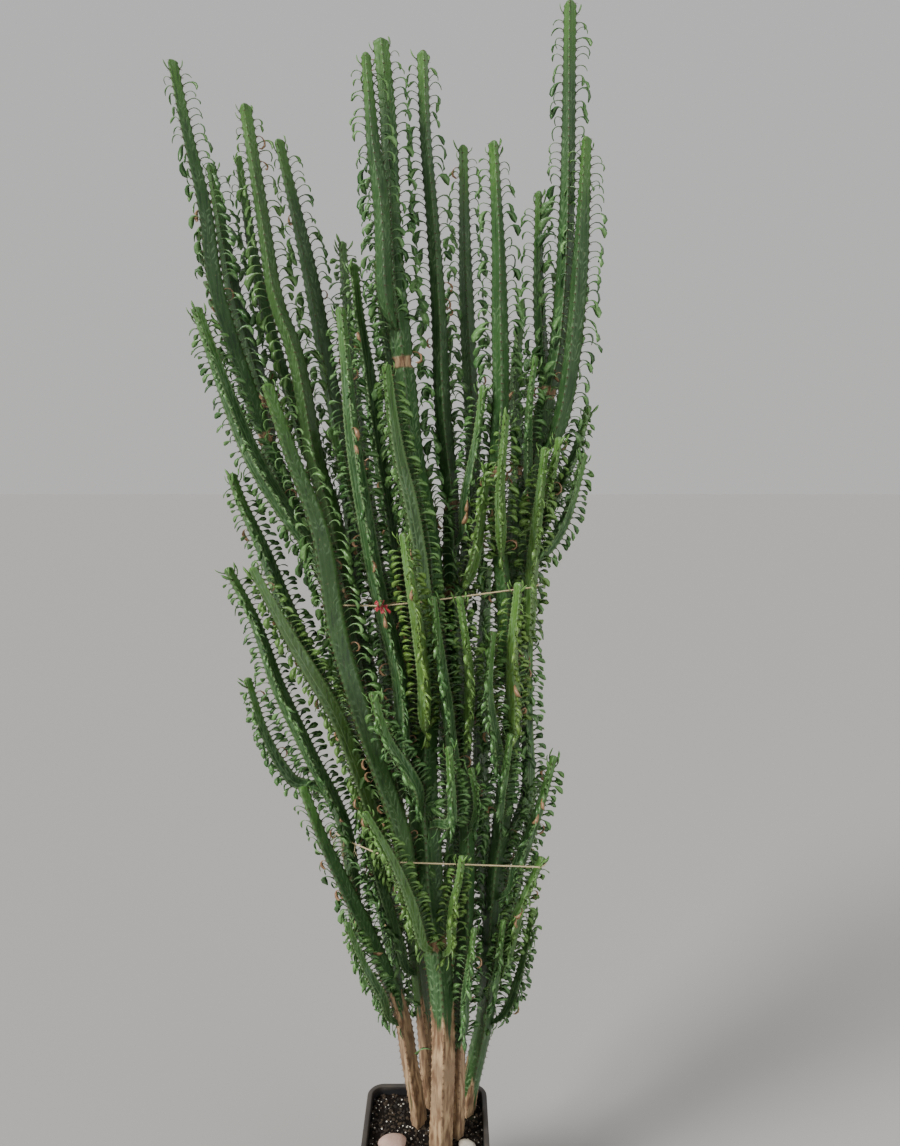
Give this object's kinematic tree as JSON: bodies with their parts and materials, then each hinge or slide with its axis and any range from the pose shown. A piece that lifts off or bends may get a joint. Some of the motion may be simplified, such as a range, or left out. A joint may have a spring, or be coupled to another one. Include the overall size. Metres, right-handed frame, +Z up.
{
  "type": "potted african milk tree",
  "caption": "Tall African milk tree (Euphorbia trigona) in a square black nursery pot: ribbed upright stems with small leaves, tied with twine.",
  "frame": {"origin": "the middle of the pot's flat underside", "axes": "+Z up along the stems, the viewer of the picture stands on the -Y side, +X to the viewer's right"},
  "size_m": [0.7784, 0.3211, 2.3547],
  "materials": {
    "pot_plastic": "black moulded nursery-pot plastic, slightly glossy and scuffed",
    "potting_soil": "damp dark potting soil with perlite and grit",
    "pebble": "smooth river-worn stone",
    "trunk_green": "green succulent skin turning to grey-tan cork at the foot",
    "branch_green": "waxy green succulent skin with paler marbling",
    "twine": "natural fibre twine",
    "ribbon": "red satin ribbon"
  },
  "bodies": {
    "root": {"pot": "pot_plastic", "soil": "potting_soil", "stone_pink": "pebble", "stone_pale": "pebble", "trunk_left": "trunk_green", "trunk_back_left": "trunk_green", "trunk_front": "trunk_green", "trunk_middle": "trunk_green", "trunk_right": "trunk_green", "low_left_1": "branch_green", "low_left_2": "branch_green", "low_left_3": "branch_green", "low_left_4": "branch_green", "low_left_5": "branch_green", "top_left_1": "branch_green", "top_left_2": "branch_green", "top_left_3": "branch_green", "top_left_4": "branch_green", "top_left_5": "branch_green", "top_left_6": "branch_green", "top_middle_1": "branch_green", "top_middle_2": "branch_green", "top_middle_3": "branch_green", "top_middle_4": "branch_green", "top_middle_5": "branch_green", "top_middle_6": "branch_green", "top_middle_7": "branch_green", "top_right_1": "branch_green", "top_right_2": "branch_green", "top_right_3": "branch_green", "top_right_4": "branch_green", "mid_right_1": "branch_green", "mid_right_2": "branch_green", "mid_right_3": "branch_green", "mid_right_4": "branch_green", "mid_middle_1": "branch_green", "mid_middle_2": "branch_green", "mid_middle_3": "branch_green", "mid_middle_4": "branch_green", "mid_middle_5": "branch_green", "mid_middle_6": "branch_green", "mid_middle_7": "branch_green", "mid_middle_8": "branch_green", "mid_right_5": "branch_green", "mid_right_6": "branch_green", "mid_right_7": "branch_green", "low_middle_1": "branch_green", "low_middle_2": "branch_green", "low_middle_3": "branch_green", "low_middle_4": "branch_green", "low_right_1": "branch_green", "low_right_2": "branch_green", "low_right_3": "branch_green", "low_left_6": "branch_green", "low_middle_5": "branch_green", "low_right_5": "branch_green", "low_right_4": "branch_green", "twine_upper": "twine", "twine_lower": "twine", "ribbon_rosette": "ribbon"}
  },
  "joints": []
}
